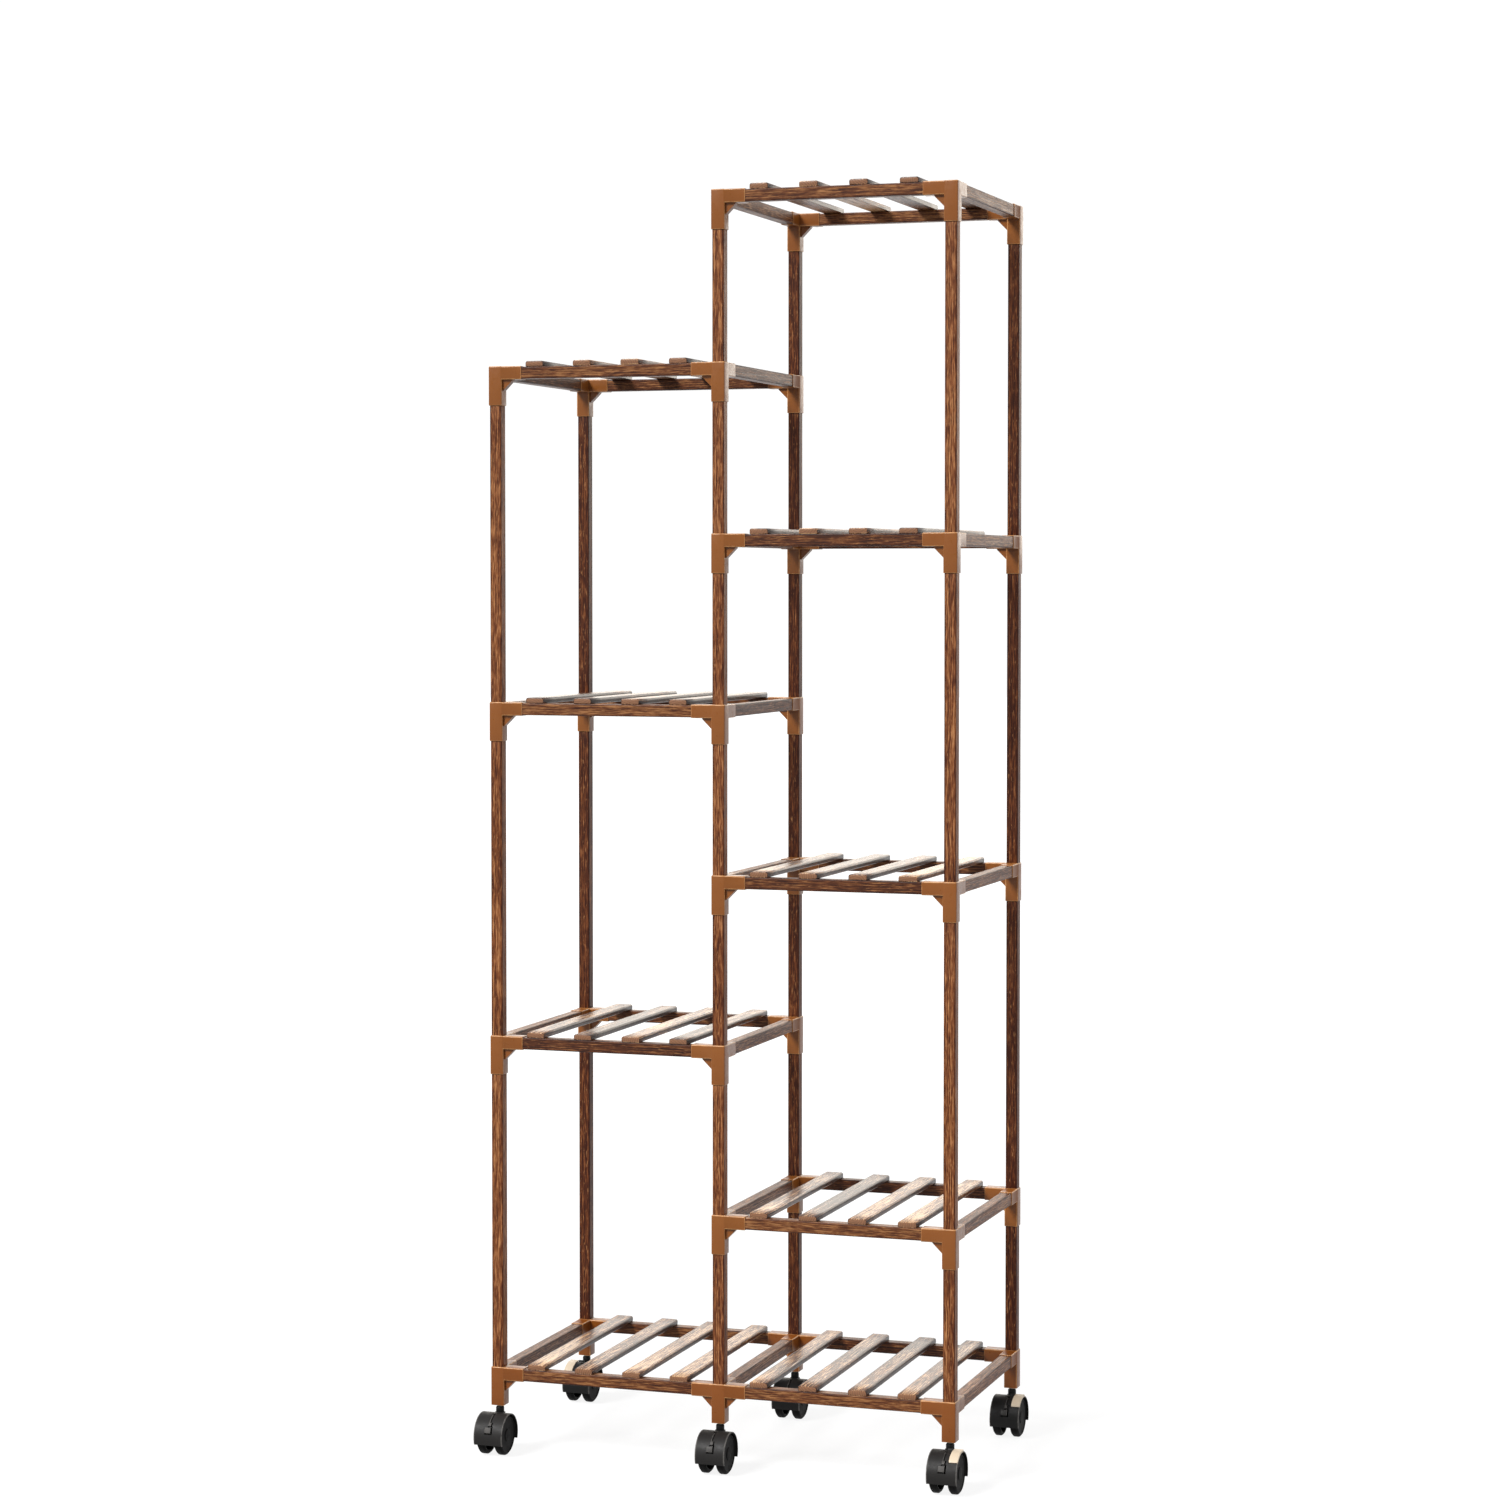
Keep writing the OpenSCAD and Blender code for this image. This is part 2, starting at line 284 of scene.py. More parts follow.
def wood(name, dark, mid, light, pale, end, coat, burnt):
    """Carbonised pine: growth rings about a pith beside the stick, fibres along it, and pale flecks.
    "grain" holds each stick's own coordinates, "tone" its shade, "edge" its arrises and
    "cut" its sawn ends. burnt says how much the flame darkened it in patches."""
    s = Shader(name)
    grain = s.attribute("grain", "Vector")
    tone = s.attribute("tone", "Fac")
    edge = s.attribute("edge", "Fac")
    cut = s.attribute("cut", "Fac")
    drift = s.noise(s.vector("MULTIPLY", grain, (70.0, 70.0, 6.0)), detail=3.0, output=1)
    drift = s.vector("MULTIPLY", s.vector("SUBTRACT", drift, (0.5, 0.5, 0.5)), (0.0042, 0.0042, 0.0))
    warped = s.vector("ADD", grain, drift)
    rings = s.node(
        "ShaderNodeTexWave",
        {"Vector": warped, "Scale": 112.0, "Distortion": 0.0, "Detail": 0.0},
        wave_type="RINGS", rings_direction="Z", wave_profile="SAW",
    ).outputs[1]
    fibre = s.noise(s.vector("MULTIPLY", grain, (820.0, 820.0, 30.0)), detail=5.0, roughness=0.65)
    dash = s.noise(s.vector("MULTIPLY", grain, (700.0, 700.0, 64.0)), detail=3.0, roughness=0.6)
    streak = s.noise(s.vector("MULTIPLY", grain, (240.0, 240.0, 7.0)), detail=3.0, roughness=0.6)
    patch = s.noise(s.vector("MULTIPLY", grain, (30.0, 30.0, 7.0)), detail=2.0)
    fleck = s.noise(s.vector("MULTIPLY", grain, (700.0, 700.0, 110.0)), detail=2.0, roughness=0.5)
    pore = s.noise(s.vector("MULTIPLY", grain, (1100.0, 1100.0, 60.0)), detail=2.0, roughness=0.5)
    # Each weight scales one pattern about its middle, 0.5. tone is random, and lower on the back posts as
    # painted shade. An arris only gets darker, and a slat's sides, which hold a larger edge, are darkened
    # further as painted shade.
    patterns = ((rings, 0.22), (fibre, 1.55), (dash, 1.35), (streak, 0.22), (patch, burnt), (tone, -0.2))
    value = 0.5 - sum(weight for _, weight in patterns) / 2
    for pattern, weight in (*patterns, (edge, 0.14)):
        value = s.math("MULTIPLY_ADD", pattern, weight, value)
    colour = s.ramp(value, [(0.20, pale), (0.38, light), (0.57, mid), (0.84, dark)])
    bright = s.math("MULTIPLY", s.range(fleck, 0.62, 0.70, 0.0, 0.6), s.range(edge, 0.0, 1.0, 1.0, 0.2))
    colour = s.mix(bright, colour, pale)
    colour = s.mix(s.range(pore, 0.60, 0.70, 0.0, 0.7), colour, dark)
    sawn = s.ramp(s.math("MULTIPLY_ADD", rings, 0.5, s.math("MULTIPLY", fibre, 0.6)),
                  [(0.25, end), (0.8, tuple(c * 0.55 for c in end))])
    colour = s.mix(cut, colour, sawn)
    height = s.math("MULTIPLY_ADD", fibre, -0.55, s.math("MULTIPLY", rings, 0.45))
    dull = s.math("MULTIPLY_ADD", streak, 0.5, s.math("MULTIPLY", fibre, 0.5))
    return s.surface(
        Base_Color=colour, Roughness=s.range(dull, 0.3, 0.7, 0.34, 0.60),
        Normal=s.bump(height, 0.00025, 0.55), Specular_IOR_Level=0.12,
        Coat_Weight=coat, Coat_Roughness=0.27,
    )


def plastic(name, colour, deep, rough, texture, spec=0.5, shine=0.0, rim_highlight=None):
    """Moulded plastic: faint flow marks, a fine spark-eroded texture and rubbed spots.
    "tone" takes it towards deep, and "edge" marks the rims that get a painted highlight."""
    s = Shader(name)
    spot = s.node("ShaderNodeTexCoord").outputs["Object"]
    flow = s.noise(s.vector("MULTIPLY", spot, (22.0, 22.0, 60.0)), detail=4.0, roughness=0.6)
    tone = s.attribute("tone", "Fac")
    mixed = s.mix(s.math("MULTIPLY_ADD", flow, 0.55, s.math("MULTIPLY", tone, 0.75)), colour, deep)
    grains = s.noise(spot, scale=texture, detail=3.0, roughness=0.65)
    rub_and_glint_noise = s.noise(spot, scale=140.0, detail=4.0, roughness=0.7)
    # A painted highlight: the rims marked by edge are lightened in patches towards the given colour.
    if rim_highlight:
        mixed = s.mix(s.math("MULTIPLY", grains, 0.5), mixed, deep)
        lit_rims = s.math("MULTIPLY", s.attribute("edge", "Fac"), s.range(rub_and_glint_noise, 0.35, 0.6, 0.3, 1.0))
        mixed = s.mix(lit_rims, mixed, rim_highlight)
    roughness = s.math("MULTIPLY_ADD", grains, 0.10, s.range(rub_and_glint_noise, 0.35, 0.7, rough - 0.08, rough + 0.08))
    return s.surface(
        Base_Color=mixed, Roughness=roughness,
        Normal=s.bump(grains, 0.00008, 0.45), Specular_IOR_Level=spec,
        Coat_Weight=shine, Coat_Roughness=0.15,
    )


def metal(name, colour, rough, along):
    """Drawn steel with fine lines across the direction along."""
    s = Shader(name)
    spot = s.node("ShaderNodeTexCoord").outputs["Object"]
    lines = s.noise(s.vector("MULTIPLY", spot, along), detail=4.0, roughness=0.7)
    spots = s.noise(spot, scale=260.0, detail=3.0)
    return s.surface(
        Base_Color=s.mix(spots, colour, tuple(c * 0.72 for c in colour)),
        Metallic=1.0,
        Roughness=s.math("MULTIPLY_ADD", lines, 0.22, s.range(spots, 0.3, 0.7, rough - 0.06, rough + 0.06)),
        Normal=s.bump(lines, 0.00004, 0.4),
    )


POST_WOOD = wood("post_wood", srgb(50, 18, 6), srgb(95, 50, 24), srgb(131, 79, 44), srgb(168, 117, 74),
                 srgb(118, 74, 48), 0.03, 0.15)
RAIL_WOOD = wood("rail_wood", srgb(38, 12, 4), srgb(75, 38, 17), srgb(107, 63, 33), srgb(148, 102, 62),
                 srgb(118, 74, 48), 0.12, 0.3)
SLAT_WOOD = wood("slat_wood", srgb(34, 14, 6), srgb(82, 45, 24), srgb(136, 92, 58), srgb(204, 162, 118),
                 srgb(138, 94, 64), 0.5, 1.2)
CONNECTOR = plastic("connector_plastic", srgb(134, 82, 32), srgb(114, 58, 4), 0.3, 2600.0, 0.25, 0.1,
                    rim_highlight=srgb(186, 134, 84))
PLUG = plastic("plug_plastic", srgb(30, 28, 26), srgb(22, 20, 19), 0.5, 2400.0, 0.3)
HOOD = plastic("hood_plastic", srgb(40, 38, 37), srgb(10, 10, 10), 0.45, 900.0, 0.15, rim_highlight=srgb(96, 93, 90))
WHEEL = plastic("wheel_nylon", srgb(9, 8, 8), srgb(5, 5, 5), 0.55, 2200.0, 0.06)
LEVER = plastic("lever_plastic", srgb(204, 188, 166), srgb(184, 164, 138), 0.36, 2400.0, 0.4)
STEM_STEEL = metal("stem_steel", (0.16, 0.15, 0.14), 0.34, (500.0, 500.0, 5000.0))
FASTENER_STEEL = metal("fastener_steel", (0.60, 0.59, 0.57), 0.30, (4000.0, 600.0, 600.0))


# ---------------------------------------------------------------- timber

rng = random.Random(71)
# How far the pith lies from a stick's middle, how far along its tree it was cut, and its grain's slope
PITH_NEAR, PITH_FAR, CUT_ALONG, GRAIN_LEAN = 9, 34, 4000, 0.004


class Timber:
    """Several sticks in one mesh, each with its own run of grain and shade."""

    def __init__(self):
        self.bm = bmesh.new()
        self.grain = self.bm.verts.layers.float_vector.new("grain")
        self.tone = self.bm.verts.layers.float.new("tone")
        self.edge = self.bm.verts.layers.float.new("edge")
        self.cut = self.bm.faces.layers.float.new("cut")

    def stick(self, outline, length, matrix, end_round=0.5, stations=9, painted_shade=0.0, spread=1.0):
        """A stick along local Z with this outline of (x, y, edge) points, its two ends eased by
        end_round. spread says how much its shade may differ from its neighbours'."""
        angle, reach = rng.uniform(0, 2 * math.pi), rng.uniform(PITH_NEAR, PITH_FAR)
        pith = (reach * math.cos(angle), reach * math.sin(angle))
        shift = rng.uniform(-CUT_ALONG, CUT_ALONG)
        # Any darkening asked for here is painted shade, taken off the whole stick's shade.
        shade = 0.5 + (rng.random() - 0.5) * spread - painted_shade
        lean = [rng.uniform(-GRAIN_LEAN, GRAIN_LEAN) for _ in range(2)]
        stops = [(0.0, end_round), (end_round * 0.3, end_round * 0.3), (end_round, 0.0)]
        stops += [(length * n / stations, 0.0) for n in range(1, stations)]
        stops += [(length - z, inset) for z, inset in reversed(stops[:3])]
        wide = max(abs(p[0]) for p in outline), max(abs(p[1]) for p in outline)
        rings = []
        for z, inset in stops:
            ring = []
            for x, y, edge in outline:
                x *= 1 - inset / wide[0]
                y *= 1 - inset / wide[1]
                v = self.bm.verts.new(matrix @ Vector((x, y, z)))
                v[self.grain] = (
                    (x + pith[0] + lean[0] * z) * MM, (y + pith[1] + lean[1] * z) * MM, (z + shift) * MM)
                v[self.tone] = shade
                v[self.edge] = edge
                ring.append(v)
            rings.append(ring)
        m = len(outline)
        for a, b in zip(rings, rings[1:]):
            for i in range(m):
                self.bm.faces.new([a[i], a[(i + 1) % m], b[(i + 1) % m], b[i]])
        for ring in (list(reversed(rings[0])), rings[-1]):
            self.bm.faces.new(ring)[self.cut] = 1.0


def edged_outline(w, h, radii, steps, band):
    """A rounded rectangle of (x, y, edge) points: edge is 1 on the arrises and falls to 0 within band."""
    corners = [(-w / 2, -h / 2), (w / 2, -h / 2), (w / 2, h / 2), (-w / 2, h / 2)]
    out = []
    for i, corner in enumerate(corners):
        before, after = corners[i - 1], corners[(i + 1) % 4]
        one = rounded_profile([before, corner, after], [0, radii[i], 0], steps)[1:-1]
        ways = [np.array(q, float) - np.array(corner) for q in (before, after)]
        ways = [v / np.linalg.norm(v) * band for v in ways]
        out.append((*(np.array(one[0]) + ways[0]), 0.0))
        out += [(x, y, 1.0) for x, y in one]
        out.append((*(np.array(one[-1]) + ways[1]), 0.0))
    return out


ALONG = {
    "x": Matrix(((0, 0, 1, 0), (1, 0, 0, 0), (0, 1, 0, 0), (0, 0, 0, 1))),
    "y": Matrix(((1, 0, 0, 0), (0, 0, 1, 0), (0, -1, 0, 0), (0, 0, 0, 1))),
}


def at(x, y, z):
    return Matrix.Translation((x, y, z))


def riding(ob, body, slot, *nodes):
    """Fixes the piece to its body, in place of these CAD nodes. slot, its material's slot, is not used."""
    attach(ob, body)
    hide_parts(*nodes)


STICK = edged_outline(STICK_W, STICK_W, [STICK_R] * 4, 3, 1.3)
BACK_PAINTED_SHADE, POST_SPREAD, SLAT_SPREAD = 1.2, 0.25, 1.9
for place in PLACES:
    tiers = TIERS[place.split("_")[1]]
    x, y = POST[place]
    # The back posts are darkened as painted shade.
    painted_shade = BACK_PAINTED_SHADE if place.startswith("back") else 0.0
    timber = Timber()
    for a, b in zip(tiers, tiers[1:]):
        z = tier_z(a) - TOP_SOCKET_D
        length = tier_z(b) - SLEEVE_H + SOCKET_D - z
        timber.stick(STICK, length, at(x, y, z), painted_shade=painted_shade, spread=POST_SPREAD)
    riding(finish_mesh("timber_post_" + place, timber.bm, POST_WOOD), "frame", "post_wood", "post_" + place)

# A slat's top edges are eased more than its lower ones, and its sides are darkened most, as painted shade
SLAT_TOP_R, SLAT_FOOT_R, SLAT_SIDE_PAINTED_SHADE = 2.6, 1.0, 2.6
SLAT = [(x, y, SLAT_SIDE_PAINTED_SHADE if abs(x) > SLAT_W / 2 - 0.01 else edge)
        for x, y, edge in edged_outline(SLAT_W, SLAT_T, [SLAT_TOP_R] * 2 + [SLAT_FOOT_R] * 2, 4, 0.6)]
SLATS, SLAT_END_R, SLAT_SHORT = 4, 0.9, 0.4
SLAT_DRIFT, SLAT_TURN = 0.35, 0.06
for side, tiers in SHELVES.items():
    left, right = (0, 1) if side == "left" else (1, 2)
    x0, y0 = POST["front_" + COLUMNS[left]]
    x1, y1 = POST["back_" + COLUMNS[right]]
    inner = ARM_END - SOCKET_D
    for i, k in enumerate(tiers):
        z = tier_z(k) - CONN_W / 2
        timber = Timber()
        for y in (y0, y1):
            timber.stick(STICK, x1 - x0 - 2 * inner, at(x0 + inner, y, z) @ ALONG["x"])
        columns = [1, 2] if side == "right" else [0] if k == 0 else [0, 1]
        for column in columns:
            x = POST["front_" + COLUMNS[column]][0]
            timber.stick(STICK, y1 - y0 - 2 * inner, at(x, y0 + inner, z) @ ALONG["y"])
        name = f"{side}_{i + 1}"
        riding(finish_mesh("timber_rails_" + name, timber.bm, RAIL_WOOD), "frame", "rail_wood",
               "rails_" + name)
        timber = Timber()
        y = y0 - STICK_W / 2 + SLAT_SHORT / 2
        z = tier_z(k) - (CONN_W - STICK_W) / 2 + SLAT_T / 2
        for n in range(SLATS):
            x = (x0 + x1) / 2 + (n - (SLATS - 1) / 2) * SLAT_PITCH + rng.uniform(-SLAT_DRIFT, SLAT_DRIFT)
            turn = Matrix.Rotation(math.radians(rng.uniform(-SLAT_TURN, SLAT_TURN)), 4, "Z")
            timber.stick(SLAT, y1 - y0 + STICK_W - SLAT_SHORT, at(x, y, z) @ turn @ ALONG["y"],
                         end_round=SLAT_END_R, spread=SLAT_SPREAD)
        riding(finish_mesh("timber_slats_" + name, timber.bm, SLAT_WOOD), "frame", "slat_wood",
               "slats_" + name)


# ---------------------------------------------------------------- connectors

# The arms are a little slimmer than the sleeve that they leave, and set below its top
ARM_SLIM, ARM_DROP = 0.35, 0.25
EDGE_ROUND, RIM_SHARE = 1.3, 0.5


def between(a, b, sides):
    """The corners of a box that runs from a to b along X, where sides holds its extents in Y and Z."""
    (y0, y1), (z0, z1) = sides
    return (min(a, b), y0, z0), (max(a, b), y1, z1)


def swapped(corners):
    """A box's corners with X and Y exchanged."""
    return tuple((y, x, z) for x, y, z in corners)


def gusset_bm(side):
    """The rib under an arm along X, which runs a little way into the arm and the sleeve."""
    h = CONN_W / 2
    inner, outer, top, low = h - 0.4, h + GUSSET_LEG, -CONN_W + 0.4, -CONN_W - GUSSET_LEG
    outline = rounded_profile(
        [(inner, top), (outer, top), (outer, -CONN_W - 0.8), (h + 0.8, low), (inner, low)],
        [0, 0, 0.4, 0.4, 0], 2)
    bm = bmesh.new()
    faces = [[bm.verts.new((side * x, y, z)) for x, z in outline] for y in (-GUSSET_T / 2, GUSSET_T / 2)]
    for i in range(len(outline)):
        j = (i + 1) % len(outline)
        bm.faces.new([faces[0][i], faces[0][j], faces[1][j], faces[1][i]])
    bm.faces.new(faces[0])
    bm.faces.new(list(reversed(faces[1])))
    return bm


def moulded_box(corners):
    """A box with rounded edges, which are half as round on the rims of its sockets."""
    bm = box_bm(*corners)
    weights = bm.edges.layers.float.new("bevel_weight_edge")
    for e in bm.edges:
        ends = [v.co for v in e.verts]
        rim = (
            all(abs(abs(c.x) - ARM_END) < 0.01 for c in ends)
            or all(abs(abs(c.y) - ARM_END) < 0.01 for c in ends)
            or all(abs(c.z + SLEEVE_H) < 0.01 for c in ends)
        )
        e[weights] = RIM_SHARE if rim else 1.0
    return evaluated(bm, [("BEVEL", {
        "limit_method": "WEIGHT", "width": EDGE_ROUND, "segments": 4, "use_clamp_overlap": True,
        "miter_outer": "MITER_SHARP"})])


def connector(arms_x, arm_y, top_open):
    """One moulded connector, its top at z 0: rounded outside edges, eased rims, sockets and gussets."""
    h, q = CONN_W / 2, SOCKET_W / 2
    slim = ((ARM_SLIM - h, h - ARM_SLIM), (ARM_SLIM - CONN_W, -ARM_DROP))
    bm = moulded_box(((-h, -h, -SLEEVE_H), (h, h, 0)))
    for s in arms_x:
        bm = combined(bm, moulded_box(between(0, s * ARM_END, slim)), "UNION")
    bm = combined(bm, moulded_box(swapped(between(0, arm_y * ARM_END, slim))), "UNION")
    for s in arms_x:
        bm = combined(bm, gusset_bm(s), "UNION")
    inner, past = ARM_END - SOCKET_D, ARM_END + 1
    bore = ((-q, q), (-h - q, q - h))
    sockets = [((-q, -q, -SLEEVE_H - 1), (q, q, -SLEEVE_H + SOCKET_D))]
    if top_open:
        sockets.append(((-q, -q, -TOP_SOCKET_D), (q, q, 1)))
    sockets += [between(s * inner, s * past, bore) for s in arms_x]
    sockets.append(swapped(between(arm_y * inner, arm_y * past, bore)))
    for lo, hi in sockets:
        bm = combined(bm, box_bm(lo, hi), "DIFFERENCE")
    return bm


# The lowest connectors are darkened as painted shade. The small slanted faces of the rounded edges get a
# painted highlight, but not a gusset's slope, the one large slanted face.
LOWEST_PAINTED_SHADE, SHADE, GUSSET_AREA = 0.75, 0.15, 20.0
kinds = {}
for column in COLUMNS:
    bm = bmesh.new()
    tone = bm.verts.layers.float.new("tone")
    for row in ROWS:
        for k in TIERS[column]:
            if column == "middle":
                arms = (-1, 1) if k == 0 else (-1,) if k % 2 == 0 else (1,)
            else:
                arms = (1,) if column == "left" else (-1,)
            key = (arms, 1 if row == "front" else -1, k != TIERS[column][-1])
            if key not in kinds:
                kinds[key] = connector(*key)
            x, y = POST[f"{row}_{column}"]
            first = len(bm.verts)
            appended(bm, kinds[key], at(x, y, tier_z(k)))
            bm.verts.ensure_lookup_table()
            shade = (LOWEST_PAINTED_SHADE if k == 0 else SHADE) + rng.uniform(-0.12, 0.12)
            for v in bm.verts[first:]:
                v[tone] = shade
    bm.normal_update()
    edge = bm.faces.layers.float.new("edge")
    for f in bm.faces:
        slanted = max(abs(n) for n in f.normal) < 0.985
        f[edge] = 1.0 if slanted and f.calc_area() < GUSSET_AREA else 0.0
    riding(finish_mesh("moulded_connectors_" + column, bm, CONNECTOR, 40), "frame", "connector_plastic",
           "connectors_" + column)
for bm in kinds.values():
    bm.free()


# ---------------------------------------------------------------- casters

# A caster is built about its axle at the origin: +X is to the right, the stem stands at y TRAIL,
# and angles start straight ahead, at -Y, and turn up towards +Z.
STEM = at(0, TRAIL, 0)
PIN_ANGLE, PIN_PATH, PIN_R = 100.0, 27.1, 0.9
LEVER_X, LEVER_IN, LEVER_OUT, LEVER_ARC = (7.6, 19.0), 25.5, 28.1, (40.5, 97.0)


def moved(bm, matrix):
    bmesh.ops.transform(bm, matrix=matrix, verts=bm.verts)
    if matrix.determinant() < 0:
        bmesh.ops.reverse_faces(bm, faces=bm.faces)
    return bm


def lathe_z(profile, steps=64):
    """A closed profile of (radius, z) points turned about the Z axis."""
    return moved(lathe(profile, steps), Matrix.Rotation(math.radians(-90), 4, "Y"))


def rod_x(radius, x0, x1, steps=32, ease=0.15):
    outline = [(0.0, x0), (radius, x0), (radius, x1), (0.0, x1)]
    return lathe(rounded_profile(outline, [0, ease, ease, 0], 3), steps)


def at_angle(radius, angle):
    return at(0, -radius * math.cos(math.radians(angle)), radius * math.sin(math.radians(angle)))


def arc_block(radii, angles, x, ease=0.0, steps=144):
    """A curved block about the axle, its edges eased."""
    outline = [(radii[0], x[0]), (radii[1], x[0]), (radii[1], x[1]), (radii[0], x[1])]
    bm = lathe(outline, steps, *angles)
    if ease:
        bm = evaluated(bm, [("BEVEL", {"limit_method": "ANGLE", "angle_limit": math.radians(50),
                                       "width": ease, "segments": 3})])
    return bm


# The moulded snap latch on the hood's front, as (angles, x, height above the hood),
# and the slits about it, as (angles, x, depth)
LATCH = [((14.5, 29.5), (-4.4, 3.6), 0.9), ((34, 43), (-0.6, 3.0), 0.8), ((42, 75), (-0.35, 0.85), 0.55)]
SLITS = [
    ((10.8, 14.4), (-4.6, 5.4), 2.4), ((10.8, 30.2), (3.7, 5.4), 2.4), ((29.6, 33.8), (-1.4, 5.4), 2.0),
    ((33.8, 44.5), (3.1, 4.5), 1.6), ((44.5, 74.0), (0.95, 2.2), 1.2), ((73.0, 81.5), (-1.6, 2.4), 1.8),
]
WEB_W, SEAT_R, SEAT_TOP, BOSS_R, BOSS_W = 6.0, 6.6, 25.3, 2.0, 6.9
STEM_BORE_R, AXLE_BORE_R = 3.55, 3.03


def hood(side):
    """The hood. side is 1 or -1 where a brake lever sits, or 0."""
    half, inner = HOOD_W / 2, HOOD_R - HOOD_T
    shell = rounded_profile(
        [(HOOD_R, -half), (HOOD_R, -half + 1.7), (HOOD_R, half - 1.7), (HOOD_R, half), (inner - 0.2, half),
         (inner - 0.2, half - 1.1), (inner, half - 1.5), (inner, 1.5 - half), (inner - 0.2, 1.1 - half),
         (inner - 0.2, -half)],
        [0.7, 0, 0, 0.7, 0.4, 0.15, 0.15, 0.15, 0.15, 0.4], 4)
    bm = lathe(shell, 144)
    web_r, web = HOOD_R - 0.6, WEB_W / 2
    bm = combined(bm, lathe([(0.0, -web), (web_r, -web), (web_r, web), (0.0, web)], 144), "UNION")
    top = COLLAR_TOP - WHEEL_R
    collar = lathe_z(rounded_profile(
        [(0.0, 4.0), (COLLAR_R, 4.0), (COLLAR_R, top), (0.0, top)], [0, 0, 2.4, 0], 6))
    bm = combined(bm, moved(collar, STEM), "UNION")
    seat = lathe_z(rounded_profile(
        [(0.0, 14.0), (SEAT_R, 14.0), (SEAT_R, SEAT_TOP), (0.0, SEAT_TOP)], [0, 0, 0.7, 0], 3))
    bm = combined(bm, moved(seat, STEM), "UNION")
    for angles, x, high in LATCH:
        bm = combined(bm, arc_block((inner + 0.5, HOOD_R + high), angles, x, 0.22), "UNION")
    for angles, x, deep in SLITS:
        bm = combined(bm, arc_block((HOOD_R - deep, HOOD_R + 2), angles, x), "DIFFERENCE")
    if side:
        x = sorted((side * (LEVER_X[0] - 0.4), side * HOOD_W))
        boss = rod_x(BOSS_R, *sorted((0.0, side * BOSS_W)))
        bm = combined(bm, moved(boss, at_angle(PIN_PATH, PIN_ANGLE)), "UNION")
        recess = arc_block((LEVER_IN - 0.4, LEVER_OUT + 1), (39.5, 104.5), x)
        bm = combined(bm, recess, "DIFFERENCE")
        bore = rod_x(PIN_R + 0.02, *sorted((-side, side * HOOD_W)))
        bm = combined(bm, moved(bore, at_angle(PIN_PATH, PIN_ANGLE)), "DIFFERENCE")
    floor, far = HOOD_FLOOR - WHEEL_R, 2 * HOOD_R
    below = box_bm((-HOOD_W, -far, floor - far), (HOOD_W, far, floor))
    bm = combined(bm, below, "DIFFERENCE")
    stem_bore = lathe_z([(0.0, 6.0), (STEM_BORE_R, 6.0), (STEM_BORE_R, 40.0), (0.0, 40.0)])
    bm = combined(bm, moved(stem_bore, STEM), "DIFFERENCE")
    bm = combined(bm, rod_x(AXLE_BORE_R, -8, 8, ease=0), "DIFFERENCE")
    # edge paints highlights: full on the hood's outer rims, and half on the raised latch.
    edge = bm.verts.layers.float.new("edge")
    for v in bm.verts:
        reach = math.hypot(v.co.y, v.co.z)
        rim = abs(v.co.x) > half - 0.8 and reach > HOOD_R - 0.8
        v[edge] = 1.0 if rim else 0.5 if reach > HOOD_R + 0.3 and v.co.y < 0 else 0.0
    return bm


def wheel(side):
    """One wheel: a crowned tread, a dished face with a hub cap, and a hollow inner side."""
    bore, near, far = 3.05, 3.3, 17.0
    profile = rounded_profile(
        [(bore, 16.2), (bore, near), (6.0, near), (6.0, 13.6), (20.5, 13.6), (20.5, 6.5), (22.9, 6.5),
         (WHEEL_R, 8.6), (WHEEL_R, 14.8), (22.4, far), (21.3, far), (20.4, 16.1), (8.2, 15.9), (7.6, 16.8),
         (2.6, far), (0.0, far), (0.0, 16.2)],
        [0, 0.4, 0.5, 0.8, 0.8, 0.4, 0.9, 1.2, 1.4, 1.6, 0.4, 0.5, 0.4, 0.3, 0, 0, 0], 4)
    bm = lathe(profile, 112)
    if side < 0:
        moved(bm, Matrix.Scale(-1, 4, (1, 0, 0)))
    return bm


def brake_lever(side):
    x = sorted(side * v for v in LEVER_X)
    bm = arc_block((LEVER_IN, LEVER_OUT), LEVER_ARC, x, 0.5)
    bm = combined(bm, moved(rod_x(1.7, *x), at_angle(PIN_PATH, PIN_ANGLE)), "UNION")
    bore = rod_x(PIN_R + 0.05, *sorted((0.0, side * HOOD_W)))
    return combined(bm, moved(bore, at_angle(PIN_PATH, PIN_ANGLE)), "DIFFERENCE")


def stem():
    """The steel stem with its grip ring's groove near the top, its foot at z 0."""
    r, groove, tall = 3.5, 2.9, 49.0
    return lathe_z(rounded_profile(
        [(0.0, 0.0), (r, 0.0), (r, 36.0), (groove, 36.8), (groove, 40.2), (r, 41.0), (r, tall), (0.0, tall)],
        [0, 0.6, 0.2, 0.2, 0.2, 0.2, 0.9, 0], 3), 48)
